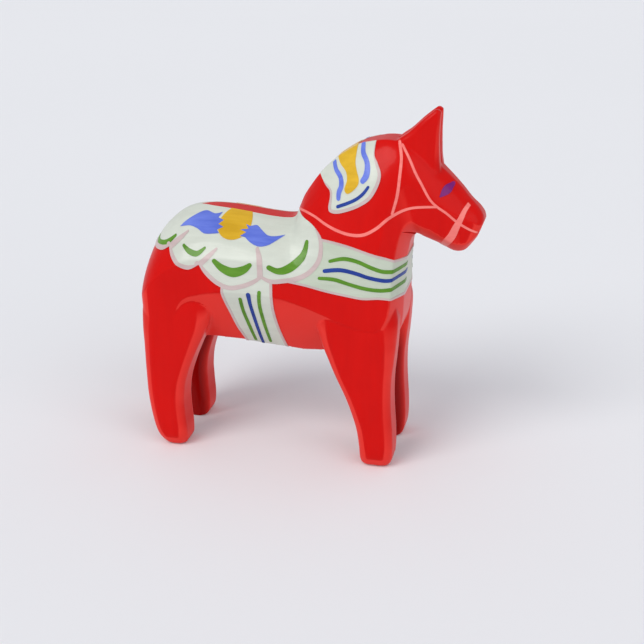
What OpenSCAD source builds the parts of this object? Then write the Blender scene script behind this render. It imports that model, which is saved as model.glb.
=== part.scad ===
// Dala horse: a whittled and painted wooden horse on four legs.
// The blank is glued up from upright boards in three layers, and the paint lies on it in thin films.
// Frame: +X to the nose, +Y to the horse's left, +Z up; origin under the middle of the box, on the floor.

/* [Blank] */
// Thickness of each layer of boards; the legs stand one middle layer apart
board_t = 32; // [30:1:34]
// Seam between the rear and front board of each outer layer, along X
outer_seam = 0; // [-8:1:8]
// Distance of the two seams of the middle layer from the origin, along X
core_seam = 48; // [44:1:52]

/* [Carving] */
// Roundness of the edges carved along back, crest and face: 0 is a flat chamfer, 1 a full round
back_round = 0.5; // [0.3:0.05:0.9]
// Roundness of the edges carved along belly, chest and jaw
belly_round = 0.2; // [0.1:0.1:0.9]
// Roundness of the legs' carved edges
leg_round = 0.7; // [0.3:0.1:0.9]
// Width of the carved edge down each leg
leg_edge = 8; // [5:1:10]
// Depth of the knife cut where the jaw meets the neck
throat_cut = 1.4; // [0.6:0.2:2]
// Clear space that the V cut leaves between the ear tips
ear_gap = 6; // [4:0.5:9]

/* [Paint] */
// Thickness of one coat of paint, across the horse
coat_t = 0.5; // [0.3:0.05:0.8]
// Scale of every painted stroke's width
brush = 1; // [0.7:0.05:1.3]
// Width of the rose rim inside the edges of the white fields
rim_w = 3.6; // [2:0.2:5]
// Width across the sun on the saddle, along the back
sun_w = 27; // [22:1:30]

/* [Hidden] */

half_w = 1.5 * board_t;
inner = 0.5 * board_t;
// Half width of the horse that the tables of the carved form are drawn for
table_half_w = 48;
far = 200;

// ---- Curves and lofts -------------------------------------------------------------------

// Catmull-Rom value between b and c; all four are numbers or vectors of one length.
function blend4(a, b, c, d, t) =
    0.5 * (2 * b + (c - a) * t + (2 * a - 5 * b + 4 * c - d) * t * t + (3 * (b - c) + d - a) * t * t * t);

// A smooth run of rows through the given ones, with steps rows for each gap.
function smooth_rows(rows, steps) =
    let (last = len(rows) - 1)
    concat(
        [for (i = [0 : last - 1], j = [0 : steps - 1])
            blend4(rows[max(i - 1, 0)], rows[i], rows[i + 1], rows[min(i + 2, last)], j / steps)],
        [rows[last]]
    );

// One carved corner: from the ridge (0, flat) to the full half width (depth, full).
function corner(flat, full, depth, roundness) =
    [for (s = [0 : 0.25 : 1]) [
        depth * ((1 - roundness) * s + roundness * (1 - cos(90 * s))),
        flat + (full - flat) * ((1 - roundness) * s + roundness * sin(90 * s))
    ]];

// A closed section in the plane through a and b: half width w about y, a flat of half width
// flat_a at a with a carved corner that ends depth_a from it, and the same at b.
function section(a, b, y, w, flat_a, depth_a, flat_b, depth_b, round_a, round_b) =
    let (
        length = norm(b - a),
        way = (b - a) / length,
        fit = min(1, length / (depth_a + depth_b + 0.01)),
        top = corner(flat_a, w, depth_a * fit, round_a),
        low = corner(flat_b, w, depth_b * fit, round_b),
        half = concat(top, [for (i = [len(low) - 1 : -1 : 0]) [length - low[i][0], low[i][1]]])
    )
    concat(
        [for (p = half) [a[0] + way[0] * p[0], y - p[1], a[1] + way[1] * p[0]]],
        [for (i = [len(half) - 1 : -1 : 0])
            [a[0] + way[0] * half[i][0], y + half[i][1], a[1] + way[1] * half[i][0]]]
    );

// A closed skin over sections that all have the same number of points.
module loft(sections) {
    n = len(sections[0]);
    last = len(sections) - 1;
    polyhedron(
        points = [for (ring = sections, p = ring) p],
        faces = concat(
            [[for (i = [0 : n - 1]) i]],
            [for (k = [0 : last - 1], i = [0 : n - 1]) [k * n + i, (k + 1) * n + i, k * n + (i + 1) % n]],
            [for (k = [0 : last - 1], i = [0 : n - 1])
                [(k + 1) * n + i, (k + 1) * n + (i + 1) % n, k * n + (i + 1) % n]],
            [[for (i = [n - 1 : -1 : 0]) last * n + i]]
        )
    );
}

// ---- The carved form --------------------------------------------------------------------

// Trunk, neck and head in one run from rump to muzzle. Each row is
// [upper x, z, lower x, z, half width, upper flat, upper depth, lower flat, lower depth]:
// the upper point runs along rump, back, crest and face, the lower one along belly, chest and jaw.
trunk_rows = [
    [-142, 145, -138, 84, 33, 17, 12, 32, 2],
    [-140.5, 157, -136.5, 84, 40, 15, 20, 39, 2],
    [-137.5, 168, -133.5, 84, 44.5, 13, 27, 43, 3],
    [-133, 179, -129.5, 85, 47, 10, 32, 44, 5],
    [-126, 190, -122.5, 88, 48, 7.5, 35, 40, 10],
    [-115, 200.5, -112, 93, 48, 5, 37, 32, 24],
    [-102, 207, -101, 98, 48, 3.5, 36, 26, 40],
    [-87, 208.8, -88, 98.5, 48, 5.5, 34, 24, 46],
    [-70, 208.3, -72, 98, 48, 7.5, 32, 23, 50],
    [-52, 206.5, -54, 97, 48, 8, 30, 22, 52],
    [-34, 204.5, -36, 95.5, 48, 8.5, 29, 22, 53],
    [-20, 204, -19, 94.5, 48, 8, 32, 22, 53],
    [-13, 206.5, -4, 93, 48, 6, 40, 22, 52],
    [-10, 214, 12, 94, 48, 5, 52, 22, 48],
    [-6, 223.5, 30, 95, 48, 5, 64, 22, 42],
    [0, 233, 46, 97, 48, 5.5, 74, 22, 34],
    [7, 242.5, 61, 101, 48, 6, 82, 22, 26],
    [15, 250.5, 73, 108, 48, 6.5, 88, 21, 20],
    [22, 257, 79, 122, 47, 7, 88, 20, 18],
    [29, 262, 80.5, 140, 45, 7.5, 82, 19, 17],
    [36, 266.5, 80.5, 157, 42, 8, 74, 18, 17],
    [44, 270.5, 81, 172, 38.5, 9, 64, 16, 16],
    [53, 273, 82.5, 186, 34.5, 10, 52, 14, 15],
    [63, 274.5, 85, 196, 30.5, 11.5, 40, 13, 14],
    [75, 273, 89.5, 199, 27.5, 12.5, 31, 12, 14],
    [88, 266, 95, 196.5, 26, 12, 28, 11, 13],
    [99, 259.5, 101, 194, 25, 9, 27, 10, 13],
    [107, 253, 106.5, 191.5, 24, 6, 26, 9, 12],
    [115, 245.5, 112, 188.5, 22.5, 5, 23, 8, 11],
    [123, 237.5, 117.5, 186, 20.5, 4, 19, 8, 10],
    [130.5, 228.6, 123, 185.5, 18.5, 4, 14, 8, 9],
    [137, 222.2, 128, 187.5, 17, 5, 10, 8, 8],
    [140.8, 216.6, 132.5, 192.5, 15, 6, 7, 7, 7],
    [142, 212, 136.5, 198, 12, 6, 4, 6, 4]
];

// Each leg's rows run up from the sole: [z, rear x, front x, outer face's y, edge width].
hind_leg_rows = [
    [0, -119.5, -109, 39, 4],
    [1.5, -123.5, -106, 42.5, 5.5],
    [5, -127, -104, 44.8, 7],
    [10, -130, -103.5, 46.8, 8],
    [18, -132.5, -103.6, 47.6, 8],
    [31, -135, -104.6, 48, 8],
    [46, -137, -105, 48, 8],
    [61, -137.8, -103, 48, 8],
    [77, -138.2, -98, 48, 8],
    [94, -138.8, -91, 48, 9],
    [112, -139.8, -83, 48, 11],
    [130, -139.5, -78, 47, 14],
    [148, -134, -80, 42, 16]
];
fore_leg_rows = [
    [0, 54.5, 71, 39, 4],
    [1.5, 51.5, 74.2, 42.5, 5.5],
    [5, 50, 76.4, 44.8, 7],
    [10, 49.5, 77.4, 46.8, 8],
    [19, 48.8, 77.8, 47.6, 8],
    [34, 46.5, 77.2, 48, 8],
    [50, 41.5, 76, 48, 8],
    [64, 36, 75.4, 48, 8],
    [80, 28.5, 75.6, 48, 8],
    [95, 22, 77, 48, 9],
    [112, 15, 78.5, 48, 11],
    [132, 10, 79, 47, 14],
    [152, 12, 74, 43, 16]
];

// Each ear's rows run up from inside the head: [rear x, z, front x, z, outer face's y, inner face's y]
ear_rows = [
    [64, 262, 106, 250, 15, -1],
    [70, 273.5, 104.5, 261, 13.5, 0],
    [80, 281.5, 104, 270, 12.8, 1],
    [89, 290.3, 103.8, 279.5, 12, 2],
    [96, 296.3, 104, 289.5, 10.6, 2.6],
    [100.6, 300, 104.3, 298, 8.6, 3]
];

module trunk() {
    loft([for (r = trunk_rows)
        section([r[0], r[1]], [r[2], r[3]], 0, r[4], r[5], r[6], r[7], r[8], back_round, belly_round)]);
}

// The inner face clears the middle layer by leg_relief, where the saw cut is cleaned up.
leg_relief = 0.4;
module leg(rows) {
    low = table_half_w / 3 + leg_relief;
    loft([for (r = smooth_rows(rows, 2))
        let (mid = (r[3] + low) / 2, w = (r[3] - low) / 2, edge = r[4] * leg_edge / 8)
        section([r[1], r[0]], [r[2], r[0]], mid, w, w - 0.75 * min(edge, w), edge,
            w - 0.75 * min(edge, w), edge, leg_round, leg_round)]);
}

module ear() {
    open = ear_gap / 6;
    loft([for (r = smooth_rows(ear_rows, 2))
        let (low = r[5] * open, mid = (r[4] + low) / 2, w = (r[4] - low) / 2)
        section([r[0], r[1]], [r[2], r[3]], mid, w, 0.55 * w, 0.6 * w, 0.55 * w, 0.6 * w, 0.5, 0.5)]);
}

module both_sides() {
    children();
    mirror([0, 1, 0]) children();
}

module blank_form() {
    scale([1, half_w / table_half_w, 1]) {
        trunk();
        both_sides() {
            leg(hind_leg_rows);
            leg(fore_leg_rows);
            ear();
        }
    }
}

// A knife cut on each side carries the line under the jaw back into the neck.
module carved_form() {
    difference() {
        blank_form();
        both_sides() difference() {
            rotate([90, 0, 0]) linear_extrude(half_w) polygon([[79, 206], [90, 196.5], [91.5, 199]]);
            translate([0, throat_cut, 0]) blank_form();
        }
    }
}

// ---- Boards -----------------------------------------------------------------------------

// One board: the carved form between two X planes and two Y planes. Zero lengths in resize
// keep every size, and make the cut board one closed skin.
module board(x_low, x_high, y_low, y_high) {
    resize([0, 0, 0]) intersection() {
        carved_form();
        translate([x_low, y_low, -1]) cube([x_high - x_low, y_high - y_low, 2 * far]);
    }
}

red = [0.8, 0.05, 0.01];
module left_rear_board() { color(red) board(-far, outer_seam, inner, far); }
module left_front_board() { color(red) board(outer_seam, far, inner, far); }
module right_rear_board() { color(red) board(-far, outer_seam, -far, -inner); }
module right_front_board() { color(red) board(outer_seam, far, -far, -inner); }
module core_rear_board() { color(red) board(-far, -core_seam, -inner, inner); }
module core_middle_board() { color(red) board(-core_seam, core_seam, -inner, inner); }
module core_front_board() { color(red) board(core_seam, far, -inner, inner); }

// ---- Paint: shapes in the side view, as [x, z] ------------------------------------------

// Joins smooth runs end to end; each run ends on the corner where the next one starts.
function runs(list, steps) =
    [for (run = list) let (p = smooth_rows(run, steps)) for (i = [0 : len(p) - 2]) p[i]];

// A brush stroke along rows of [x, z, width], with round ends.
function at(row) = [row[0], row[1]];
function ahead(side) = [side[1], -side[0]];
module stroke(rows, steps = 2) {
    p = smooth_rows(rows, steps);
    last = len(p) - 1;
    side = [for (i = [0 : last])
        let (d = at(p[min(i + 1, last)]) - at(p[max(i - 1, 0)]))
        [-d[1], d[0]] / norm(d) * p[i][2] / 2 * brush];
    polygon(concat(
        [for (i = [0 : last]) at(p[i]) + side[i]],
        [for (a = [45, 90, 135]) at(p[last]) + side[last] * cos(a) + ahead(side[last]) * sin(a)],
        [for (i = [last : -1 : 0]) at(p[i]) - side[i]],
        [for (a = [45, 90, 135]) at(p[0]) - side[0] * cos(a) - ahead(side[0]) * sin(a)]
    ));
}

// Saddle: runs from the rump, over the back and round the four lobes.
saddle_runs = [
    [[-132, 176], [-146, 190], [-120, 225]],
    [[-120, 225], [-60, 225], [-14, 216]],
    [[-14, 216], [-6, 210.5], [6, 206], [15, 198], [17.5, 188], [16, 179], [10, 170.5], [1, 164.5],
        [-12, 161], [-24, 159.5], [-32, 163]],
    [[-32, 163], [-39, 157.5], [-49, 153], [-60, 151], [-71, 155], [-80, 163], [-85, 171]],
    [[-85, 171], [-94, 166], [-103, 168], [-110, 174], [-114, 181]],
    [[-114, 181], [-121, 177], [-132, 176]]
];
module saddle_shape() { polygon(runs(saddle_runs, 2)); }

// The rim follows the lobes, and a rib runs up between each pair of them.
module saddle_rim_shape() {
    difference() {
        saddle_shape();
        offset(delta = -rim_w) saddle_shape();
        polygon([[-150, 179], [-118, 186], [-60, 200], [4, 204], [20, 230], [-150, 230]]);
    }
    intersection() {
        saddle_shape();
        union() {
            stroke([[-99, 193, 2], [-105, 188, 4], [-112, 181, 4.5]]);
            stroke([[-71, 183, 2.5], [-77, 178, 4.5], [-85, 170, 4.5]]);
            stroke([[-37, 185, 3], [-33.5, 177, 4.5], [-33, 162, 4.5]]);
        }
    }
}

module sun_shape() {
    difference() {
        translate([-60.5, 200.5]) scale([1, 0.72]) circle(d = sun_w, $fn = 24);
        leaves_shape();
    }
}

// Both leaves end in torn tips over the edge of the sun.
module leaves_shape() {
    polygon(concat(
        runs([[[-108, 195], [-104, 199], [-97, 203.5], [-89, 206.5], [-80, 205.5], [-74, 206.5]]], 2),
        [[-74, 206.5], [-76, 203.5], [-70.5, 202.5], [-74, 200], [-69, 198.5], [-74, 196.5], [-71.5, 194.5]],
        runs([[[-76, 194], [-84, 193.5], [-91, 196], [-99, 197], [-108, 195]]], 2)
    ));
    polygon(concat(
        runs([[[-47, 199.5], [-42, 200], [-37, 197.5], [-31, 194.5], [-25, 194], [-17, 195]]], 2),
        runs([[[-17, 195], [-23, 191.5], [-29, 188.5], [-36, 187.5], [-43, 189.5], [-49, 193]]], 2),
        [[-49, 193], [-53.5, 193.5], [-49, 196], [-54.5, 197.5], [-48, 198], [-51, 200.5]]
    ));
}

module saddle_strokes_shape() {
    stroke([[-132, 184, 2.5], [-127, 180.5, 3.5], [-118, 182.5, 4], [-110, 189, 2.5]]);
    stroke([[-100, 184, 2.5], [-94, 180.5, 4], [-87, 179.5, 4], [-81, 184, 2.5]]);
    stroke([[-71.5, 175, 4], [-65, 169.5, 6.5], [-56, 166.5, 8], [-47, 169.5, 6.5], [-41.5, 174, 3.6]]);
    stroke([[-25.5, 173, 4], [-18, 170.5, 5], [-9, 173, 6.5], [-1, 180, 6], [2, 186, 4.5], [3, 193, 3]]);
}

// Breast band: from under the saddle to round the chest.
module breast_shape() {
    difference() {
        polygon(concat(
            runs([[[4, 198], [15, 197], [27, 196], [40, 194], [53, 191], [65, 188], [76, 184], [84, 180],
                [96, 178]]], 2),
            runs([[[96, 142], [84, 147], [76, 151.5], [65, 153], [52, 152], [38, 153.5], [21, 156],
                [4, 159.5], [-14, 162]]], 2),
            [[-14, 166]]
        ));
        saddle_shape();
    }
}
// The rim follows the band's upper and lower edges.
module breast_rim_shape() {
    difference() {
        breast_shape();
        offset(delta = -0.5 * rim_w) breast_shape();
        offset(delta = 0.7 * rim_w) saddle_shape();
    }
}
module breast_green_shape() {
    stroke([[24, 181, 2.5], [35, 184, 3], [46, 183, 3], [57, 179.5, 3], [67, 176, 3], [77, 175, 3],
        [88, 173, 2.5]], 1);
    stroke([[16, 167, 2.5], [29, 167, 3], [42, 164, 3], [54, 161.5, 3], [66, 160.5, 3], [77, 161, 3],
        [88, 158, 2.5]], 1);
}
module breast_blue_shape() {
    stroke([[20, 173, 3], [33, 175, 3], [46, 173.5, 3], [58, 170.5, 3], [69, 168.5, 3], [78, 168.5, 3],
        [88, 166, 2.5]], 1);
}

// Girth band: from under the saddle, round the belly.
module girth_shape() {
    difference() {
        polygon(concat(
            runs([[[-66, 158], [-67, 148], [-65, 138], [-62, 127], [-58.5, 112], [-54, 98], [-52, 86]]], 2),
            runs([[[-15, 86], [-18, 100], [-21, 116], [-23, 134], [-23, 147], [-23, 162]]], 2),
            [[-30, 168]]
        ));
        saddle_shape();
    }
}
module girth_rim_shape() {
    difference() {
        girth_shape();
        offset(delta = -0.6 * rim_w) girth_shape();
        saddle_shape();
        offset(delta = 0.7 * rim_w) saddle_shape();
    }
}
module girth_green_shape() {
    stroke([[-51, 143, 3], [-50, 131, 3], [-47.5, 117, 3], [-44.5, 98, 2.5]]);
    stroke([[-34, 151, 3], [-35, 139, 3], [-34, 124, 3], [-31.5, 99, 2.5]]);
}
module girth_blue_shape() {
    stroke([[-43.5, 148, 3.6], [-43, 138, 3], [-41, 121, 3], [-38.5, 96, 2.5]]);
}

// Mane patch: hangs over the crest of the neck.
module mane_shape() {
    polygon(concat(
        runs([
            [[4, 246], [14, 236.5], [18.5, 233], [19.5, 228], [19, 221], [21, 217.5], [28, 217.5], [38, 221],
                [46, 225], [54, 231], [59.5, 241], [61, 250], [57.5, 258], [54, 264], [54, 276]]
        ], 2),
        [[54, 290], [4, 290]]
    ));
}
module mane_rim_shape() {
    difference() {
        mane_shape();
        offset(delta = -0.7 * rim_w) mane_shape();
        polygon([[-10, 236], [8, 240], [40, 262], [51, 262], [51, 300], [-10, 300]]);
    }
}
module mane_flame_shape() {
    polygon(concat(
        runs([[[20, 262], [25, 254], [31, 249], [33, 243], [31.5, 236], [34, 233], [38, 235], [42.5, 240],
            [43, 245], [40.5, 251], [38.5, 258], [39, 272]]], 2),
        [[39, 285], [20, 285]]
    ));
}
module mane_waves_shape() {
    stroke([[19.5, 254, 3.5], [22, 249, 3.5], [27, 244, 3.5], [28.5, 238, 4], [27, 233, 4], [27, 228.5, 3.5]]);
    stroke([[43.5, 270, 3.5], [44.5, 264, 4], [48, 259, 4], [49.5, 254, 4.5], [49, 248, 5], [46.5, 244, 4.5]]);
}
module mane_stroke_shape() {
    stroke([[27, 222.5, 2.5], [36, 226.5, 2.5], [43, 230.5, 2.5], [48, 235, 2.5], [51.5, 240, 2.2]]);
}

// Bridle: rein, cheek strap, face strap and noseband.
module bridle_shape() {
    stroke([[-9, 213, 1.4], [-2, 213.8, 1.6], [8, 212, 1.8], [18, 208, 2], [27, 205, 2.2], [37, 203, 2.3],
        [46, 203, 2.4], [53, 205, 2.4], [61, 210, 2.4], [69, 217, 2.4], [78, 222, 2.2], [86, 224.5, 2],
        [95, 225.5, 2], [106, 226, 1.8]], 1);
    stroke([[73, 274, 2.2], [76, 263, 2.2], [76, 250, 2.3], [75, 235, 2.3], [72, 221, 2]], 1);
    stroke([[75.5, 272, 1.6], [82, 262.5, 1.7], [88, 251.5, 1.8], [93, 243.5, 1.8], [100, 232, 1.8],
        [106, 226, 1.8], [113, 221, 1.8], [121, 214, 1.8], [129, 208.5, 1.8], [137, 204.5, 1.5]], 1);
    stroke([[131, 228, 3], [127, 222.5, 3.6], [124.5, 216.5, 4.4], [121, 209, 5.6], [118, 202, 6.4],
        [114, 196.5, 6.4], [109, 189, 5]], 1);
}
module eye_shape() {
    stroke([[108, 234, 1.6], [110.5, 236.6, 5.6], [113, 239, 7], [115.5, 241.2, 4]]);
}

// ---- Paint: thin solids on the carved form ----------------------------------------------

// The form grown by t along each of ways.
module grown(t, ways) {
    if (t == 0) carved_form();
    else for (way = ways) translate(t * way) carved_form();
}

// Coat number n on both sides, under the shape given as the first child. It leaves bare what the
// second child covers, and the middle of the horse as far as bare = [right, left] from it.
side_ways = [[0, -1, 0], [0, 1, 0]];
module coat(n, ways = side_ways, bare = [0, 0]) {
    resize([0, 0, 0]) difference() {
        intersection() {
            grown(n * coat_t, ways);
            translate([0, far, 0]) rotate([90, 0, 0]) linear_extrude(2 * far) children(0);
        }
        grown((n - 1) * coat_t, ways);
        if (bare != [0, 0]) translate([-far, -bare[0], -1]) cube([2 * far, bare[0] + bare[1], 2 * far]);
        if ($children > 1) children(1);
    }
}

// The saddle leaves a bare strip along the back, from behind the sun to the withers.
module bare_back() {
    linear_extrude(2 * far) polygon(concat(
        runs([[[-98, 0], [-84, 6], [-66, 8], [-48, 8.4], [-30, 8.8], [-8, 9], [40, 12]]], 3),
        [[40, 12], [40, -12]],
        runs([[[40, -12], [-8, -9], [-30, -8.8], [-48, -8.4], [-66, -8], [-84, -6], [-98, 0]]], 3)
    ));
}
over_rump = [[0, -1, 0], [0, 1, 0], [-0.7, 0, 0.7]];
module saddle_coat(n, bare = [0, 0]) {
    coat(n, over_rump, bare) {
        children();
        bare_back();
    }
}

// The mane patch leaves the flat on top of the poll bare.
module bare_poll() {
    linear_extrude(2 * far) polygon([[36, 0], [41, 6.2], [47, 9], [70, 12], [70, -12], [47, -9], [41, -6.2]]);
}
over_crest = [[0, -1, 0], [0, 1, 0], [-0.6, 0, 0.8]];
module mane_coat(n, bare = [0, 0]) {
    coat(n, over_crest, bare) {
        children();
        bare_poll();
    }
}

white = [0.84, 0.86, 0.81];
rose = [0.85, 0.76, 0.76];
ochre = [0.81, 0.65, 0.14];
green = [0.35, 0.53, 0.14];
sky = [0.42, 0.5, 0.85];
navy = [0.12, 0.23, 0.55];
salmon = [0.95, 0.51, 0.48];
violet = [0.48, 0.11, 0.47];

round_chest = [[0, -1, 0], [0, 1, 0], [1, 0, 0]];
round_belly = [[0, -1, 0], [0, 1, 0], [0, 0, -1]];
on_face = [[0, -1, 0], [0, 1, 0], [0.7, 0, 0.7]];

module saddle_field() { color(white) saddle_coat(1) saddle_shape(); }
module saddle_rim() { color(rose) saddle_coat(2) saddle_rim_shape(); }
module saddle_sun() { color(ochre) saddle_coat(2) sun_shape(); }
module saddle_leaves() { color(sky) saddle_coat(2) leaves_shape(); }
module saddle_strokes() {
    color(green) saddle_coat(2, [14, 14]) difference() { saddle_strokes_shape(); saddle_rim_shape(); }
}
module breast_band() { color(white) coat(1, round_chest) breast_shape(); }
module breast_rim() { color(rose) coat(2, round_chest) breast_rim_shape(); }
module breast_green() { color(green) coat(2, round_chest, [12, 20]) breast_green_shape(); }
module breast_blue() { color(navy) coat(2, round_chest, [10, 20]) breast_blue_shape(); }
module girth_band() { color(white) coat(1, round_belly) girth_shape(); }
module girth_rim() { color(rose) coat(2, round_belly) girth_rim_shape(); }
module girth_green() { color(green) coat(2, round_belly, [24, 24]) girth_green_shape(); }
module girth_blue() { color(navy) coat(2, round_belly, [22, 22]) girth_blue_shape(); }
module mane_patch() { color(white) mane_coat(1) mane_shape(); }
module mane_rim() { color(rose) mane_coat(2) mane_rim_shape(); }
module mane_flame() { color(ochre) mane_coat(2) mane_flame_shape(); }
module mane_waves() { color(sky) mane_coat(2, [8, 8]) mane_waves_shape(); }
module mane_stroke() { color(navy) mane_coat(2) mane_stroke_shape(); }
module bridle() { color(salmon) coat(1, on_face, [10, 10]) bridle_shape(); }
module eyes() { color(violet) coat(1, on_face, [2, 2]) eye_shape(); }

left_rear_board();
left_front_board();
right_rear_board();
right_front_board();
core_rear_board();
core_middle_board();
core_front_board();
saddle_field();
saddle_rim();
saddle_sun();
saddle_leaves();
saddle_strokes();
breast_band();
breast_rim();
breast_green();
breast_blue();
girth_band();
girth_rim();
girth_green();
girth_blue();
mane_patch();
mane_rim();
mane_flame();
mane_waves();
mane_stroke();
bridle();
eyes();
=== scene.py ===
"""Dala horse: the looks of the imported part, in its frame, in metres."""
import math

import bmesh
import bpy
import numpy as np
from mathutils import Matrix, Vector


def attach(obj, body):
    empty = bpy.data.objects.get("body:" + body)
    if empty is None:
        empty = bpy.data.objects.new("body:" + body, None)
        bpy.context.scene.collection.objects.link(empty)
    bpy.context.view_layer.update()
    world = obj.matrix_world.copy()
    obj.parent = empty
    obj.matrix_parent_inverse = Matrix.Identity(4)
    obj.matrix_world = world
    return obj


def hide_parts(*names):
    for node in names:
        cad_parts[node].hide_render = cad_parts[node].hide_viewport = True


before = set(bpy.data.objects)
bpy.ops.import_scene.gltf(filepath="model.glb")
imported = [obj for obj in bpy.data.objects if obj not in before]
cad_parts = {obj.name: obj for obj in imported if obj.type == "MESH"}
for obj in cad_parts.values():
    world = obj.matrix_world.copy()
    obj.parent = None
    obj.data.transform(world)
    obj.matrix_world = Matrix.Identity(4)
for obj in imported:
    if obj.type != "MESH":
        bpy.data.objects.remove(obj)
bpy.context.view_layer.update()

# ---- Sizes, in millimetres --------------------------------------------------------------------

MM = 0.001
BOARD_T = 32.0
INNER = BOARD_T / 2
LEG_SEAM = 0.0
CORE_SEAM = 48.0
BACK_ROUND = 0.5
BELLY_ROUND = 0.2
LEG_ROUND = 0.7
EAR_ROUND = 0.5
# How far the legs' skins stay off the core board, and how wide their edges are for their depth
LEG_GAP = 0.4
LEG_BEVEL = 0.75
# Of an ear's half width: its flat, and the depth of its edges
EAR_FLAT = 0.55
EAR_EDGE = 0.6
# The knife cut where the jaw meets the neck: its outline (x, z) and its depth
THROAT = [(79, 206), (90, 196.5), (91.5, 199)]
THROAT_DEPTH = 1.4
# The two coats of paint, from the wood up
COAT = 0.32
SECOND_COAT = 1.9 * COAT
# Cutters reach past the horse: ends, sides, below, above, and the lowest that the bare back goes
FAR, WIDE, BELOW, ABOVE = 200.0, 80.0, -20.0, 320.0
BACK_LOW = 150.0
FLOOR_HALF = 9000.0

# How finely curves are run, and how finely the carved skin is made (in metres)
TRUNK_STEPS = 5
LIMB_STEPS = 6
OUTLINE_STEPS = 7
STROKE_STEPS = 6
VOXEL = 0.001
SOFTENING = 4

# ---- The carved form's rows, as in the part ---------------------------------------------------

# x and z on the ridge, x and z on the belly, half width, then the half width of the flat and the
# depth of the rounded edge, on the ridge and on the belly
TRUNK = [
    [-142, 145, -138, 84, 33, 17, 12, 32, 2],
    [-140.5, 157, -136.5, 84, 40, 15, 20, 39, 2],
    [-137.5, 168, -133.5, 84, 44.5, 13, 27, 43, 3],
    [-133, 179, -129.5, 85, 47, 10, 32, 44, 5],
    [-126, 190, -122.5, 88, 48, 7.5, 35, 40, 10],
    [-115, 200.5, -112, 93, 48, 5, 37, 32, 24],
    [-102, 207, -101, 98, 48, 3.5, 36, 26, 40],
    [-87, 208.8, -88, 98.5, 48, 5.5, 34, 24, 46],
    [-70, 208.3, -72, 98, 48, 7.5, 32, 23, 50],
    [-52, 206.5, -54, 97, 48, 8, 30, 22, 52],
    [-34, 204.5, -36, 95.5, 48, 8.5, 29, 22, 53],
    [-20, 204, -19, 94.5, 48, 8, 32, 22, 53],
    [-13, 206.5, -4, 93, 48, 6, 40, 22, 52],
    [-10, 214, 12, 94, 48, 5, 52, 22, 48],
    [-6, 223.5, 30, 95, 48, 5, 64, 22, 42],
    [0, 233, 46, 97, 48, 5.5, 74, 22, 34],
    [7, 242.5, 61, 101, 48, 6, 82, 22, 26],
    [15, 250.5, 73, 108, 48, 6.5, 88, 21, 20],
    [22, 257, 79, 122, 47, 7, 88, 20, 18],
    [29, 262, 80.5, 140, 45, 7.5, 82, 19, 17],
    [36, 266.5, 80.5, 157, 42, 8, 74, 18, 17],
    [44, 270.5, 81, 172, 38.5, 9, 64, 16, 16],
    [53, 273, 82.5, 186, 34.5, 10, 52, 14, 15],
    [63, 274.5, 85, 196, 30.5, 11.5, 40, 13, 14],
    [75, 273, 89.5, 199, 27.5, 12.5, 31, 12, 14],
    [88, 266, 95, 196.5, 26, 12, 28, 11, 13],
    [99, 259.5, 101, 194, 25, 9, 27, 10, 13],
    [107, 253, 106.5, 191.5, 24, 6, 26, 9, 12],
    [115, 245.5, 112, 188.5, 22.5, 5, 23, 8, 11],
    [123, 237.5, 117.5, 186, 20.5, 4, 19, 8, 10],
    [130.5, 228.6, 123, 185.5, 18.5, 4, 14, 8, 9],
    [137, 222.2, 128, 187.5, 17, 5, 10, 8, 8],
    [140.8, 216.6, 132.5, 192.5, 15, 6, 7, 7, 7],
    [142, 212, 136.5, 198, 12, 6, 4, 6, 4]
]
# z, rear x, front x, outer y, depth of the rounded edges
HIND_LEG = [
    [0, -119.5, -109, 39, 4],
    [1.5, -123.5, -106, 42.5, 5.5],
    [5, -127, -104, 44.8, 7],
    [10, -130, -103.5, 46.8, 8],
    [18, -132.5, -103.6, 47.6, 8],
    [31, -135, -104.6, 48, 8],
    [46, -137, -105, 48, 8],
    [61, -137.8, -103, 48, 8],
    [77, -138.2, -98, 48, 8],
    [94, -138.8, -91, 48, 9],
    [112, -139.8, -83, 48, 11],
    [130, -139.5, -78, 47, 14],
    [148, -134, -80, 42, 16]
]
FORE_LEG = [
    [0, 54.5, 71, 39, 4],
    [1.5, 51.5, 74.2, 42.5, 5.5],
    [5, 50, 76.4, 44.8, 7],
    [10, 49.5, 77.4, 46.8, 8],
    [19, 48.8, 77.8, 47.6, 8],
    [34, 46.5, 77.2, 48, 8],
    [50, 41.5, 76, 48, 8],
    [64, 36, 75.4, 48, 8],
    [80, 28.5, 75.6, 48, 8],
    [95, 22, 77, 48, 9],
    [112, 15, 78.5, 48, 11],
    [132, 10, 79, 47, 14],
    [152, 12, 74, 43, 16]
]
# Rear x and z, front x and z, outer y, inner y
EAR = [
    [64, 262, 106, 250, 15, -1],
    [70, 273.5, 104.5, 261, 13.5, 0],
    [80, 281.5, 104, 270, 12.8, 1],
    [89, 290.3, 103.8, 279.5, 12, 2],
    [96, 296.3, 104, 289.5, 10.6, 2.6],
    [100.6, 300, 104.3, 298, 8.6, 3]
]


# ---- Shapes -----------------------------------------------------------------------------------

def smooth_rows(rows, steps):
    """Catmull-Rom run through the rows, with steps rows for each gap."""
    p = np.array(rows, float)
    last = len(p) - 1
    out = []
    for i in range(last):
        a, b, c, d = p[max(i - 1, 0)], p[i], p[i + 1], p[min(i + 2, last)]
        for j in range(steps):
            t = j / steps
            out.append(0.5 * (2 * b + (c - a) * t + (2 * a - 5 * b + 4 * c - d) * t * t
                              + (3 * (b - c) + d - a) * t ** 3))
    return np.array(out + [p[last]])


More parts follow.
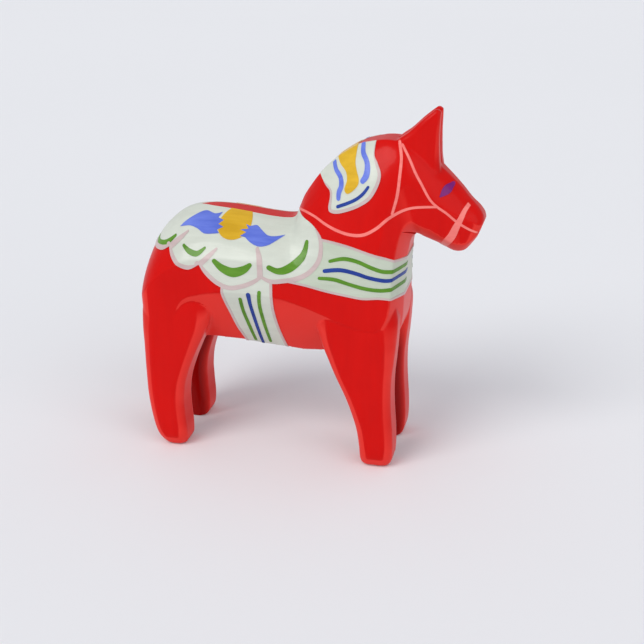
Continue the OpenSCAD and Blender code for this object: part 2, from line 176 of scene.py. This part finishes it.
def corner(flat, full, depth, roundness, n):
    """Half of one carved edge: (depth, half width) from the ridge's flat to the full width."""
    s = np.linspace(0, 1, n)
    a = s * math.pi / 2
    return np.stack([depth * ((1 - roundness) * s + roundness * (1 - np.cos(a))),
                     flat + (full - flat) * ((1 - roundness) * s + roundness * np.sin(a))], 1)


def section(a, b, y, w, flat_a, depth_a, flat_b, depth_b, round_a, round_b, n=12):
    """A closed section from a to b, both (x, z), around y with half width w. Each end has a flat,
    an edge of some depth, and a roundness from 0 (one slanted cut) to 1 (a quarter of an oval)."""
    a, b = np.array(a, float), np.array(b, float)
    length = np.linalg.norm(b - a)
    way = (b - a) / length
    fit = min(1, length / (depth_a + depth_b + 0.01))
    top = corner(flat_a, w, depth_a * fit, round_a, n)
    low = corner(flat_b, w, depth_b * fit, round_b, n)[::-1]
    low = np.stack([length - low[:, 0], low[:, 1]], 1)
    half = np.concatenate([top, low])
    x, z = a[0] + way[0] * half[:, 0], a[1] + way[1] * half[:, 0]
    one = np.stack([x, y - half[:, 1], z], 1)
    two = np.stack([x, y + half[:, 1], z], 1)[::-1]
    return np.concatenate([one, two])


def linked(name, data):
    """A new object on data, in the scene."""
    obj = bpy.data.objects.new(name, data)
    bpy.context.scene.collection.objects.link(obj)
    return obj


def make(name, verts, faces):
    """A mesh object from points in millimetres."""
    mesh = bpy.data.meshes.new(name)
    points = [tuple(float(c) * MM for c in v) for v in verts]
    mesh.from_pydata(points, [], [tuple(f) for f in faces])
    mesh.update()
    return linked(name, mesh)


def face_out(obj):
    """Turns every face of obj outwards."""
    bm = bmesh.new()
    bm.from_mesh(obj.data)
    bmesh.ops.recalc_face_normals(bm, faces=bm.faces)
    bm.to_mesh(obj.data)
    bm.free()
    return obj


def loft(sections):
    """Points and faces of a closed skin over sections of one length."""
    n, last = len(sections[0]), len(sections) - 1
    faces = [list(range(n))[::-1], [last * n + i for i in range(n)]]
    for k in range(last):
        for i in range(n):
            j = (i + 1) % n
            faces.append([k * n + i, k * n + j, (k + 1) * n + j, (k + 1) * n + i])
    return np.concatenate(sections), faces


def trunk_sections():
    """Sections from the rump to the nose."""
    return [section(r[0:2], r[2:4], 0, r[4], r[5], r[6], r[7], r[8], BACK_ROUND, BELLY_ROUND)
            for r in smooth_rows(TRUNK, TRUNK_STEPS)]


def leg_sections(rows):
    """Sections of a left leg, from the foot up into the trunk."""
    out = []
    for z, rear, front, outer, edge in smooth_rows(rows, LIMB_STEPS):
        low = INNER + LEG_GAP
        mid, w = (outer + low) / 2, (outer - low) / 2
        ends = (w - LEG_BEVEL * min(edge, w), edge) * 2
        out.append(section([rear, z], [front, z], mid, w, *ends, LEG_ROUND, LEG_ROUND))
    return out


def ear_sections():
    """Sections of the left ear, from inside the head to the tip."""
    out = []
    for rear_x, rear_z, front_x, front_z, outer, low in smooth_rows(EAR, LIMB_STEPS):
        mid, w = (outer + low) / 2, (outer - low) / 2
        ends = (EAR_FLAT * w, EAR_EDGE * w) * 2
        out.append(section([rear_x, rear_z], [front_x, front_z], mid, w, *ends,
                           EAR_ROUND, EAR_ROUND))
    return out


def apply(obj):
    """Applies obj's modifiers to its own mesh."""
    deps = bpy.context.evaluated_depsgraph_get()
    mesh = bpy.data.meshes.new_from_object(obj.evaluated_get(deps))
    obj.modifiers.clear()
    obj.data = mesh
    return obj


def carved_form():
    """Trunk, legs and ears in one closed skin, with softened knife edges."""
    left = [leg_sections(HIND_LEG), leg_sections(FORE_LEG), ear_sections()]
    flip = np.array([1, -1, 1])
    right = [[(s * flip)[::-1] for s in p] for p in left]
    parts = [trunk_sections(), *left, *right]
    verts, faces, base = [], [], 0
    for p in parts:
        v, f = loft(p)
        verts.append(v)
        faces += [[i + base for i in face] for face in f]
        base += len(v)
    obj = face_out(make("form", np.concatenate(verts), faces))
    remesh = obj.modifiers.new("remesh", "REMESH")
    remesh.mode = "VOXEL"
    remesh.voxel_size = VOXEL
    soft = obj.modifiers.new("soft", "SMOOTH")
    soft.factor = 0.5
    soft.iterations = SOFTENING
    apply(obj)
    wedge = prism("wedge", THROAT)
    core = grown(obj, -THROAT_DEPTH, "core")
    cut(wedge, "DIFFERENCE", core)
    cut(obj, "DIFFERENCE", wedge)
    drop(wedge, core)
    return obj


def grown(obj, t, name):
    """A copy of obj with every point t millimetres further out along its normal."""
    mesh = obj.data.copy()
    n = len(mesh.vertices)
    co, no = np.empty(n * 3, np.float32), np.empty(n * 3, np.float32)
    mesh.vertices.foreach_get("co", co)
    mesh.vertices.foreach_get("normal", no)
    mesh.vertices.foreach_set("co", co + no * t * MM)
    mesh.update()
    return linked(name, mesh)


def cut(obj, how, other):
    """obj's boolean with other, on obj's own mesh."""
    mod = obj.modifiers.new("cut", "BOOLEAN")
    mod.operation, mod.object, mod.solver = how, other, "MANIFOLD"
    return apply(obj)


def drop(*objs):
    """Takes objects and their meshes out of the file."""
    for obj in objs:
        mesh = obj.data
        bpy.data.objects.remove(obj)
        bpy.data.meshes.remove(mesh)


def block(name, lo, hi):
    """A box between two corners."""
    x0, y0, z0 = lo
    x1, y1, z1 = hi
    verts = [(x, y, z) for z in (z0, z1) for y in (y0, y1) for x in (x0, x1)]
    faces = [(0, 2, 3, 1), (4, 5, 7, 6), (0, 1, 5, 4), (2, 6, 7, 3), (0, 4, 6, 2), (1, 3, 7, 5)]
    return make(name, verts, faces)


def prism(name, points, axis="y", low=-70.0, high=70.0):
    """A closed prism over an outline: (x, z) pairs run along y, or (x, y) pairs run along z."""
    n = len(points)
    if axis == "y":
        verts = [(x, y, z) for y in (low, high) for x, z in points]
    else:
        verts = [(x, y, z) for z in (low, high) for x, y in points]
    faces = [tuple(range(n))[::-1], tuple(range(n, 2 * n))]
    faces += [(i, (i + 1) % n, n + (i + 1) % n, n + i) for i in range(n)]
    return face_out(make(name, verts, faces))


def outline(*runs):
    """Smooth runs joined end to end. Each one's last point is the next one's first."""
    return [tuple(p) for r in runs for p in smooth_rows(r, OUTLINE_STEPS)[:-1]]


def stroke(rows):
    """The outline of a brush stroke along rows of (x, z, width), with round ends."""
    p = smooth_rows(rows, STROKE_STEPS)
    last = len(p) - 1
    way = np.array([p[min(i + 1, last), :2] - p[max(i - 1, 0), :2] for i in range(last + 1)])
    way /= np.linalg.norm(way, axis=1)[:, None]
    side = np.stack([-way[:, 1], way[:, 0]], 1) * p[:, 2:3] / 2
    ahead = np.stack([side[:, 1], -side[:, 0]], 1)
    arc = [math.radians(a) for a in (20, 45, 70, 90, 110, 135, 160)]
    out = [p[i, :2] + side[i] for i in range(last + 1)]
    out += [p[last, :2] + side[last] * math.cos(a) + ahead[last] * math.sin(a) for a in arc]
    out += [p[i, :2] - side[i] for i in range(last, -1, -1)]
    out += [p[0, :2] - side[0] * math.cos(a) - ahead[0] * math.sin(a) for a in arc]
    return [tuple(q) for q in out]


def merged(name, outlines):
    """One prism object over several outlines that may overlap."""
    base = prism(name, outlines[0])
    for extra in outlines[1:]:
        more = prism("more", extra)
        cut(base, "UNION", more)
        drop(more)
    return base


# ---- Paint outlines, in the side view (x, z) --------------------------------------------------

# The saddle cloth: its scalloped lower edge in four lobes, from the withers to the rump
LOBES = [
    [(-14, 216), (-6, 210.5), (6, 206), (15, 198), (17.5, 188), (16, 179), (10, 170.5), (1, 164.5),
     (-12, 161), (-24, 159.5), (-32, 163)],
    [(-32, 163), (-39, 157.5), (-49, 153), (-60, 151), (-71, 155), (-80, 163), (-85, 171)],
    [(-85, 171), (-94, 166), (-103, 168), (-110, 174), (-114, 181)],
    [(-114, 181), (-121, 177), (-132, 176)],
]
SADDLE = outline([(-132, 176), (-146, 190), (-120, 225)],
                 [(-120, 225), (-60, 225), (-14, 216)], *LOBES)
RIMS = [
    stroke([(8, 206, 1), (15, 198, 5), (17.5, 188, 7), (16, 179, 7.5), (10, 170.5, 7.5),
            (1, 164.5, 7.5), (-12, 161, 7.5), (-24, 159.5, 7), (-33, 163.5, 5)]),
    stroke([(-32, 163, 5), (-39, 157.5, 7), (-49, 153, 7.5), (-60, 151, 7.5), (-71, 155, 7.5),
            (-80, 163, 7), (-86, 171.5, 5)]),
    stroke([(-84, 170, 4), (-94, 166, 7), (-103, 168, 7), (-110, 174, 6.5), (-115, 182, 4)]),
    stroke([(-113, 181, 4), (-121, 177, 6.5), (-133, 176.5, 5)]),
    stroke([(-99, 193.5, 1.5), (-105, 188, 3.6), (-113, 181, 4.5)]),
    stroke([(-71, 184, 2), (-77, 178, 4), (-85.5, 170, 4.5)]),
    stroke([(-37, 186, 2.5), (-33.5, 177, 4.5), (-33, 161, 4.5)]),
]
SUN_X, SUN_Z, SUN_HALF_W, SUN_HALF_H = -60.5, 200.5, 13.5, 9.7
SUN = [(SUN_X + SUN_HALF_W * math.cos(a), SUN_Z + SUN_HALF_H * math.sin(a))
       for a in np.linspace(0, math.tau, 73)[:-1]]
# Each leaf is smooth along its two sides and ends in fingers over the sun
REAR_LEAF = outline([(-108, 195), (-104, 199), (-97, 203.5), (-89, 206.5), (-80, 205.5),
                     (-74, 206.5)])
REAR_LEAF += [(-74, 206.5), (-76, 203.5), (-70.5, 202.5), (-74, 200), (-69, 198.5), (-74, 196.5),
              (-71.5, 194.5)]
REAR_LEAF += outline([(-76, 194), (-84, 193.5), (-91, 196), (-99, 197), (-108, 195)])
FRONT_LEAF = outline([(-47, 199.5), (-42, 200), (-37, 197.5), (-31, 194.5), (-25, 194), (-17, 195)],
                     [(-17, 195), (-23, 191.5), (-29, 188.5), (-36, 187.5), (-43, 189.5),
                      (-49, 193)])
FRONT_LEAF += [(-49, 193), (-53.5, 193.5), (-49, 196), (-54.5, 197.5), (-48, 198), (-51, 200.5)]
SCALLOPS = [
    stroke([(-132, 184, 2.2), (-127, 180.5, 3.5), (-118, 182.5, 4), (-110, 189, 2)]),
    stroke([(-100, 184, 2.2), (-94, 180.5, 4), (-87, 179.5, 4), (-81, 184, 2)]),
    stroke([(-71.5, 175, 4), (-65, 169.5, 6.5), (-56, 166.5, 8), (-47, 169.5, 6.5),
            (-41.5, 174, 3.6)]),
    stroke([(-25.5, 173, 4), (-18, 170.5, 5), (-9, 173, 6.5), (-1, 180, 6), (2, 186, 4.5),
            (3, 193, 3)]),
]

# The breast band
BREAST_TOP = [(4, 198), (15, 197), (27, 196), (40, 194), (53, 191), (65, 188), (76, 184), (84, 180),
              (96, 178)]
BREAST_LOW = [(96, 142), (84, 147), (76, 151.5), (65, 153), (52, 152), (38, 153.5), (21, 156),
              (4, 159.5), (-14, 162)]
BREAST = outline(BREAST_TOP, [(96, 178), (96, 160), (96, 142)],
                 BREAST_LOW, [(-14, 162), (-8, 180), (4, 198)])
BREAST_RIM_W = 3.4
BREAST_RIMS = [stroke([(x, z, BREAST_RIM_W) for x, z in edge]) for edge in (BREAST_TOP, BREAST_LOW)]
BREAST_GREEN = [
    stroke([(24, 181, 2.4), (35, 184, 3), (46, 183, 3), (57, 179.5, 3), (67, 176, 3), (77, 175, 3),
            (88, 173, 2.5)]),
    stroke([(16, 167, 2.4), (29, 167, 3), (42, 164, 3), (54, 161.5, 3), (66, 160.5, 3),
            (77, 161, 3), (88, 158, 2.5)]),
]
BREAST_BLUE = [
    stroke([(20, 173, 3), (33, 175, 3.2), (46, 173.5, 3), (58, 170.5, 3), (69, 168.5, 3),
            (78, 168.5, 2.8), (88, 166, 2.4)]),
]

# The girth
GIRTH_REAR = [(-66, 158), (-67, 148), (-65, 138), (-62, 127), (-58.5, 112), (-54, 98), (-52, 86)]
GIRTH_FRONT = [(-15, 86), (-18, 100), (-21, 116), (-23, 134), (-23, 147), (-23, 162)]
GIRTH = outline(GIRTH_REAR, [(-52, 86), (-34, 86), (-15, 86)],
                GIRTH_FRONT, [(-23, 162), (-44, 166), (-66, 158)])
GIRTH_RIM_W = 4.4
GIRTH_RIMS = [stroke([(x, z, GIRTH_RIM_W) for x, z in edge]) for edge in (GIRTH_REAR, GIRTH_FRONT)]
GIRTH_GREEN = [
    stroke([(-51, 143, 3), (-50, 131, 3), (-47.5, 117, 3), (-44.5, 98, 2.5)]),
    stroke([(-34, 151, 3), (-35, 139, 3), (-34, 124, 3), (-31.5, 99, 2.5)]),
]
GIRTH_BLUE = [stroke([(-43.5, 148, 3.8), (-43, 138, 3), (-41, 121, 3), (-38.5, 96, 2.5)])]

# The mane
MANE_EDGE = [(4, 246), (14, 236.5), (18.5, 233), (19.5, 228), (19, 221), (21, 217.5), (28, 217.5),
             (38, 221), (46, 225), (54, 231), (59.5, 241), (61, 250), (57.5, 258), (54, 264),
             (54, 276)]
MANE = outline(MANE_EDGE) + [(54, 276), (54, 290), (4, 290)]
MANE_RIM = [stroke([(12, 238, 1), (18.5, 233, 3), (19.5, 228, 3.4), (19, 221, 4.4), (21, 217.5, 5),
                    (28, 217.5, 5), (38, 221, 5), (46, 225, 5), (54, 231, 5.4), (59.5, 241, 5.4),
                    (61, 250, 5), (57.5, 258, 4), (54.5, 264, 2.5), (54, 272, 1)])]
FLAME = outline([(20, 262), (25, 254), (31, 249), (33, 243), (31.5, 236), (34, 233), (38, 235),
                 (42.5, 240), (43, 245), (40.5, 251), (38.5, 258), (39, 272)])
FLAME += [(39, 272), (39, 285), (20, 285)]
WAVES = [
    stroke([(19.5, 254, 3.4), (22, 249, 3.6), (27, 244, 3.8), (28.5, 238, 4), (27, 233, 4),
            (27, 228.5, 3.4)]),
    stroke([(43.5, 270, 3.5), (44.5, 264, 4), (48, 259, 4), (49.5, 254, 4.5), (49, 248, 5),
            (46.5, 244, 4.2)]),
]
MANE_STROKE = [stroke([(27, 222.5, 2.5), (36, 226.5, 2.5), (43, 230.5, 2.5), (48, 235, 2.5),
                       (51.5, 240, 2.2)])]

# The head
BRIDLE = [
    stroke([(-9, 213, 1.4), (-2, 213.8, 1.6), (8, 212, 1.8), (18, 208, 2), (27, 205, 2.2),
            (37, 203, 2.3), (46, 203, 2.4), (53, 205, 2.4), (61, 210, 2.4), (69, 217, 2.4),
            (78, 222, 2.2), (86, 224.5, 2), (95, 225.5, 2), (106, 226, 1.8)]),
    stroke([(73, 274, 2.2), (76, 263, 2.2), (76, 250, 2.3), (75, 235, 2.3), (72, 221, 2)]),
    stroke([(75.5, 272, 1.6), (82, 262.5, 1.7), (88, 251.5, 1.8), (93, 243.5, 1.8), (100, 232, 1.8),
            (106, 226, 1.8), (113, 221, 1.8), (121, 214, 1.8), (129, 208.5, 1.8),
            (137, 204.5, 1.5)]),
    stroke([(131, 228, 3), (127, 222.5, 3.6), (124.5, 216.5, 4.4), (121, 209, 5.6), (118, 202, 6.4),
            (114, 196.5, 6.4), (109, 189, 5)]),
]
EYE = [stroke([(108, 234, 1.6), (110.5, 236.6, 5.6), (113, 239, 7), (115.5, 241.2, 4)])]

# What stays bare along the middle of the back and of the poll, seen from above (x, y)
BARE_BACK = outline([(-98, 0), (-84, 6), (-66, 8), (-48, 8.4), (-30, 8.8), (-8, 9), (40, 12)],
                    [(40, 12), (40, 0), (40, -12)],
                    [(40, -12), (-8, -9), (-30, -8.8), (-48, -8.4), (-66, -8), (-84, -6), (-98, 0)])
BARE_POLL = outline([(36, 0), (41, 6.2), (47, 9), (70, 12)], [(70, 12), (70, 0), (70, -12)],
                    [(70, -12), (47, -9), (41, -6.2), (36, 0)])


# ---- Materials --------------------------------------------------------------------------------

def node_mix(nt, a, b, fac):
    """Colour a where fac is 0, and colour b where it is 1."""
    mix = nt.nodes.new("ShaderNodeMix")
    mix.data_type = "RGBA"
    mix.inputs["A"].default_value = a
    mix.inputs["B"].default_value = b
    nt.links.new(fac, mix.inputs["Factor"])
    return mix.outputs["Result"]


def linear(rgb):
    """Linear RGBA from sRGB 0-255."""
    c = [v / 255 for v in rgb]
    return [v / 12.92 if v <= 0.04045 else ((v + 0.055) / 1.055) ** 2.4 for v in c] + [1.0]


def noise(nt, scale, size, detail, rough):
    """Fractal noise in object space, stretched by scale (x, y, z); size is cycles per metre."""
    coords = nt.nodes.new("ShaderNodeTexCoord")
    mapping = nt.nodes.new("ShaderNodeMapping")
    mapping.inputs["Scale"].default_value = scale
    tex = nt.nodes.new("ShaderNodeTexNoise")
    tex.inputs["Scale"].default_value = size
    tex.inputs["Detail"].default_value = detail
    tex.inputs["Roughness"].default_value = rough
    nt.links.new(coords.outputs["Object"], mapping.inputs["Vector"])
    nt.links.new(mapping.outputs["Vector"], tex.inputs["Vector"])
    return tex.outputs["Fac"]


def ramp(nt, fac, low, high):
    """fac stretched so that low gives 0 and high gives 1."""
    node = nt.nodes.new("ShaderNodeMapRange")
    node.inputs["From Min"].default_value = low
    node.inputs["From Max"].default_value = high
    nt.links.new(fac, node.inputs["Value"])
    return node.outputs["Result"]


def maths(nt, operation, *terms):
    """A math node on terms, each a socket or a number."""
    node = nt.nodes.new("ShaderNodeMath")
    node.operation = operation
    for term, socket in zip(terms, node.inputs):
        if isinstance(term, float):
            socket.default_value = term
        else:
            nt.links.new(term, socket)
    return node.outputs["Value"]


def component(nt, vector, axis):
    """One part of a vector."""
    split = nt.nodes.new("ShaderNodeSeparateXYZ")
    nt.links.new(vector, split.inputs["Vector"])
    return split.outputs[axis]


def painted_highlight_facets(nt):
    """1 on the knife cuts and edges that face level or down, 0 on the flat sides and the top: where
    the red gets a painted highlight.
    """
    normal = nt.nodes.new("ShaderNodeNewGeometry").outputs["Normal"]
    slanted = ramp(nt, maths(nt, "ABSOLUTE", component(nt, normal, "Y")), 0.96, 0.935)
    level = ramp(nt, component(nt, normal, "Z"), 0.16, -0.04)
    return maths(nt, "MULTIPLY", slanted, level)


def painted_shade_between_legs(nt):
    """1 on the legs' inner faces and the belly between them, where the red is darkened as painted
    shade.
    """
    place = nt.nodes.new("ShaderNodeTexCoord").outputs["Object"]
    inside = ramp(nt, maths(nt, "ABSOLUTE", component(nt, place, "Y")), 0.0225, 0.0172)
    low = ramp(nt, component(nt, place, "Z"), 0.105, 0.085)
    return maths(nt, "MULTIPLY", inside, low)


# How a noise is stretched in x, y and z: a low number draws it out
ALONG = (0.12, 1.0, 1.0)
UPRIGHT = (1.0, 1.0, 0.12)
GRAIN = (1.0, 1.0, 0.05)
EVEN = (1.0, 1.0, 1.0)


def material(name, light, dark, streak, size, rough=0.4, coat=0.35, bump=0.00006, grain=False,
             cut=None, painted_shade_tone=None):
    """Oil paint: two near tones in brush streaks, a little relief and a clear varnish. cut is a
    lighter tone for a painted highlight on the knife cuts that face level or down, and
    painted_shade_tone a darker one for painted shade between the legs."""
    mat = bpy.data.materials.new(name)
    mat.use_nodes = True
    nt = mat.node_tree
    shader = nt.nodes["Principled BSDF"]
    streaks = noise(nt, streak, size, 4.0, 0.6)
    cloud = noise(nt, EVEN, 28.0, 2.0, 0.5)
    fac = ramp(nt, maths(nt, "ADD", streaks, cloud), 0.72, 1.28)
    tone = node_mix(nt, linear(light), linear(dark), fac)
    # Painted light: a lighter tone where the surface faces level or down is a painted highlight,
    # and a darker one between the legs is painted shade
    for other, mask in ((cut, painted_highlight_facets), (painted_shade_tone, painted_shade_between_legs)):
        if other:
            over = node_mix(nt, linear(light), linear(other), mask(nt))
            nt.links.new(tone, over.node.inputs["A"])
            tone = over
    nt.links.new(tone, shader.inputs["Base Color"])
    height = streaks
    if grain:
        rings = noise(nt, GRAIN, 420.0, 3.0, 0.6)
        height = maths(nt, "MULTIPLY_ADD", rings, 0.5, streaks)
    relief = nt.nodes.new("ShaderNodeBump")
    relief.inputs["Strength"].default_value = 1.0
    relief.inputs["Distance"].default_value = bump
    nt.links.new(height, relief.inputs["Height"])
    nt.links.new(relief.outputs["Normal"], shader.inputs["Normal"])
    shader.inputs["Roughness"].default_value = rough
    shader.inputs["Specular IOR Level"].default_value = 0.07
    shader.inputs["Coat Weight"].default_value = coat
    shader.inputs["Coat Roughness"].default_value = 0.12
    return mat


# The red's lighter tone on the lower knife cuts is a painted highlight, and its darker tone between
# the legs is painted shade
RED = material("red_wood", (205, 6, 1), (198, 4, 0), UPRIGHT, 160.0, rough=0.36, coat=0.14,
               bump=0.00003, grain=True, cut=(224, 50, 42), painted_shade_tone=(146, 3, 1))
WHITE = material("white_paint", (206, 211, 200), (196, 201, 190), ALONG, 220.0)
SHADED_WHITE = material("breast_paint", (192, 201, 185), (182, 191, 174), ALONG, 220.0)
ROSE = material("rose_paint", (200, 181, 179), (188, 168, 167), ALONG, 260.0)
OCHRE = material("ochre_paint", (220, 176, 44), (198, 154, 26), ALONG, 240.0)
SKY = material("sky_paint", (108, 128, 218), (82, 102, 198), ALONG, 260.0)
GREEN = material("green_paint", (96, 146, 44), (72, 120, 26), ALONG, 260.0)
NAVY = material("navy_paint", (40, 70, 156), (22, 46, 124), ALONG, 260.0)
SALMON = material("salmon_paint", (244, 134, 126), (230, 110, 104), ALONG, 260.0)
VIOLET = material("violet_paint", (132, 26, 122), (110, 14, 100), UPRIGHT, 260.0)


# ---- Pieces -----------------------------------------------------------------------------------

WELD = 1e-5
SHARP = math.radians(38)


def crumbs(bm, fewest=40):
    """The faces of every loose island that has fewer than fewest of them."""
    seen, out = set(), []
    for first in bm.faces:
        if first in seen:
            continue
        seen.add(first)
        island, todo = [first], [first]
        while todo:
            for edge in todo.pop().edges:
                for face in edge.link_faces:
                    if face not in seen:
                        seen.add(face)
                        island.append(face)
                        todo.append(face)
        if len(island) < fewest:
            out += island
    return out


def join_near(bm, verts, reach):
    """Joins those of verts that are nearer than reach metres, and removes what that flattens."""
    bmesh.ops.remove_doubles(bm, verts=verts, dist=reach)
    bmesh.ops.dissolve_degenerate(bm, edges=bm.edges, dist=WELD)
    bmesh.ops.triangulate(bm, faces=bm.faces)


def weld(mesh):
    """Closes a cut mesh: joins near points everywhere, then in wider steps at edges that don't
    have two faces, and takes out the slivers that cuts leave."""
    bm = bmesh.new()
    bm.from_mesh(mesh)
    join_near(bm, bm.verts, WELD)
    for wider in (2, 6, 16):
        split = {v for e in bm.edges if len(e.link_faces) != 2 for v in e.verts}
        if split:
            join_near(bm, list(split), wider * WELD)
    bmesh.ops.delete(bm, geom=crumbs(bm), context="FACES")
    bm.to_mesh(mesh)
    bm.free()


def finish_piece(obj, name, mat, node):
    """Names, shades and colours a piece of the object, hangs it on the root body and hides the
    part's node.
    """
    obj.name = obj.data.name = name
    weld(obj.data)
    obj.data.shade_smooth()
    obj.data.set_sharp_from_angle(angle=SHARP)
    obj.data.materials.clear()
    obj.data.materials.append(mat)
    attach(obj, "root")
    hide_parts(node)
    return obj


form = carved_form()
skins = [form, grown(form, COAT, "skin_one"), grown(form, SECOND_COAT, "skin_two")]


def board(name, node, x0, x1, y0, y1):
    """The carved form inside one glued board."""
    cutter = block("cutter", (x0, y0, BELOW), (x1, y1, ABOVE))
    obj = linked(name, form.data.copy())
    cut(obj, "INTERSECT", cutter)
    drop(cutter)
    return finish_piece(obj, name, RED, node)


board("wood_left_rear", "left_rear_board", -FAR, LEG_SEAM, INNER, WIDE)
board("wood_left_front", "left_front_board", LEG_SEAM, FAR, INNER, WIDE)
board("wood_right_rear", "right_rear_board", -FAR, LEG_SEAM, -WIDE, -INNER)
board("wood_right_front", "right_front_board", LEG_SEAM, FAR, -WIDE, -INNER)
board("wood_core_rear", "core_rear_board", -FAR, -CORE_SEAM, -INNER, INNER)
board("wood_core_middle", "core_middle_board", -CORE_SEAM, CORE_SEAM, -INNER, INNER)
board("wood_core_front", "core_front_board", CORE_SEAM, FAR, -INNER, INNER)


def trim(obj, how, tool):
    """Cuts obj with a tool that has no other use."""
    cut(obj, how, tool)
    drop(tool)


def paint(name, node, mat, level, shapes, keep=(), less=(), bare=None, top=None):
    """One coat: the shapes' prisms on the form, from the coat below it (level - 1) up to level.
    keep holds prisms to stay inside and less holds prisms to leave out. The middle stays bare as
    far as bare = (right, left) from it, and so does the outline top, seen from above."""
    obj = merged(name, shapes)
    for other in keep:
        trim(obj, "INTERSECT", merged("tool", other))
    for other in less:
        trim(obj, "DIFFERENCE", merged("tool", other))
    cut(obj, "INTERSECT", skins[level])
    cut(obj, "DIFFERENCE", skins[level - 1])
    if bare:
        right, left = bare
        trim(obj, "DIFFERENCE", block("tool", (-FAR, -right, BELOW), (FAR, left, ABOVE)))
    if top:
        trim(obj, "DIFFERENCE", prism("tool", top, "z", BACK_LOW, ABOVE))
    return finish_piece(obj, name, mat, node)


paint("paint_saddle", "saddle_field", WHITE, 1, [SADDLE], top=BARE_BACK)
paint("paint_saddle_rim", "saddle_rim", ROSE, 2, RIMS, keep=[[SADDLE]],
      top=BARE_BACK)
paint("paint_sun", "saddle_sun", OCHRE, 2, [SUN],
      less=[[REAR_LEAF], [FRONT_LEAF]], top=BARE_BACK)
paint("paint_leaves", "saddle_leaves", SKY, 2, [REAR_LEAF, FRONT_LEAF],
      top=BARE_BACK)
paint("paint_scallops", "saddle_strokes", GREEN, 2, SCALLOPS, less=[RIMS],
      bare=(14, 14), top=BARE_BACK)
paint("paint_breast", "breast_band", SHADED_WHITE, 1, [BREAST], less=[[SADDLE]])
paint("paint_breast_rim", "breast_rim", ROSE, 2, BREAST_RIMS, keep=[[BREAST]],
      less=[[SADDLE]])
paint("paint_breast_green", "breast_green", GREEN, 2, BREAST_GREEN, bare=(12, 20))
paint("paint_breast_blue", "breast_blue", NAVY, 2, BREAST_BLUE, bare=(10, 20))
paint("paint_girth", "girth_band", WHITE, 1, [GIRTH], less=[[SADDLE]])
paint("paint_girth_rim", "girth_rim", ROSE, 2, GIRTH_RIMS, keep=[[GIRTH]],
      less=[[SADDLE]])
paint("paint_girth_green", "girth_green", GREEN, 2, GIRTH_GREEN, bare=(24, 24))
paint("paint_girth_blue", "girth_blue", NAVY, 2, GIRTH_BLUE, bare=(22, 22))
paint("paint_mane", "mane_patch", WHITE, 1, [MANE], top=BARE_POLL)
paint("paint_mane_rim", "mane_rim", ROSE, 2, MANE_RIM, keep=[[MANE]],
      top=BARE_POLL)
paint("paint_flame", "mane_flame", OCHRE, 2, [FLAME], top=BARE_POLL)
paint("paint_waves", "mane_waves", SKY, 2, WAVES, bare=(8, 8), top=BARE_POLL)
paint("paint_mane_stroke", "mane_stroke", NAVY, 2, MANE_STROKE)
paint("paint_bridle", "bridle", SALMON, 1, BRIDLE, bare=(10, 10))
paint("paint_eyes", "eyes", VIOLET, 1, EYE, bare=(2, 2))
drop(*skins)


# ---- Stage, light and camera ------------------------------------------------------------------

HORIZON = (0.80, 0.81, 0.84, 1.0)
ZENITH = (0.56, 0.57, 0.60, 1.0)


def floor_material():
    """A pale, dull floor with a faint change of tone."""
    mat = bpy.data.materials.new("pale_floor")
    mat.use_nodes = True
    nt = mat.node_tree
    shader = nt.nodes["Principled BSDF"]
    fac = noise(nt, EVEN, 0.8, 2.0, 0.5)
    nt.links.new(node_mix(nt, linear((236, 237, 240)), linear((233, 234, 237)), fac),
                 shader.inputs["Base Color"])
    shader.inputs["Roughness"].default_value = 0.9
    shader.inputs["Specular IOR Level"].default_value = 0.1
    return mat


def studio_world():
    """Soft white light from all round, brightest in a band at the horizon."""
    world = bpy.data.worlds.new("studio")
    world.use_nodes = True
    nt = world.node_tree
    height = component(nt, nt.nodes.new("ShaderNodeTexCoord").outputs["Generated"], "Z")
    nt.links.new(node_mix(nt, HORIZON, ZENITH, ramp(nt, height, 0.0, 0.3)),
                 nt.nodes["Background"].inputs["Color"])
    return world


def look_from(obj, target, azimuth, elevation, distance):
    """Puts obj at a distance from target, turned to look at it. Azimuth 0 is the -Y side."""
    a, e = math.radians(azimuth), math.radians(elevation)
    back = Vector((math.sin(a) * math.cos(e), -math.cos(a) * math.cos(e), math.sin(e)))
    obj.location = target + back * distance
    obj.rotation_mode = "QUATERNION"
    obj.rotation_quaternion = (-back).to_track_quat("-Z", "Y")


def sun(name, azimuth, elevation, strength, angle, colour=(1, 1, 1)):
    """A sun lamp whose disc is angle degrees wide."""
    data = bpy.data.lights.new(name, "SUN")
    data.energy, data.angle, data.color = strength, math.radians(angle), colour
    look_from(linked(name, data), Vector((0, 0, 0)), azimuth, elevation, 3)


floor = make("floor", [(-FLOOR_HALF, -FLOOR_HALF, 0), (FLOOR_HALF, -FLOOR_HALF, 0),
                       (FLOOR_HALF, FLOOR_HALF, 0), (-FLOOR_HALF, FLOOR_HALF, 0)], [(0, 1, 2, 3)])
floor.data.materials.append(floor_material())

bpy.context.scene.world = studio_world()
sun("key", -32, 42, 1.4, 34, (1.0, 0.985, 0.96))
sun("fill", 52, 30, 0.6, 50)

lens = bpy.data.cameras.new("camera")
lens.sensor_width, lens.lens = 36.0, 71.3
lens.clip_start, lens.clip_end = 0.05, 60.0
camera = linked("camera", lens)
look_from(camera, Vector((0.0072, 0.0, 0.1101)), azimuth=13.3, elevation=21.8, distance=1.089)
bpy.context.scene.camera = camera
bpy.context.scene.view_settings.view_transform = "Standard"
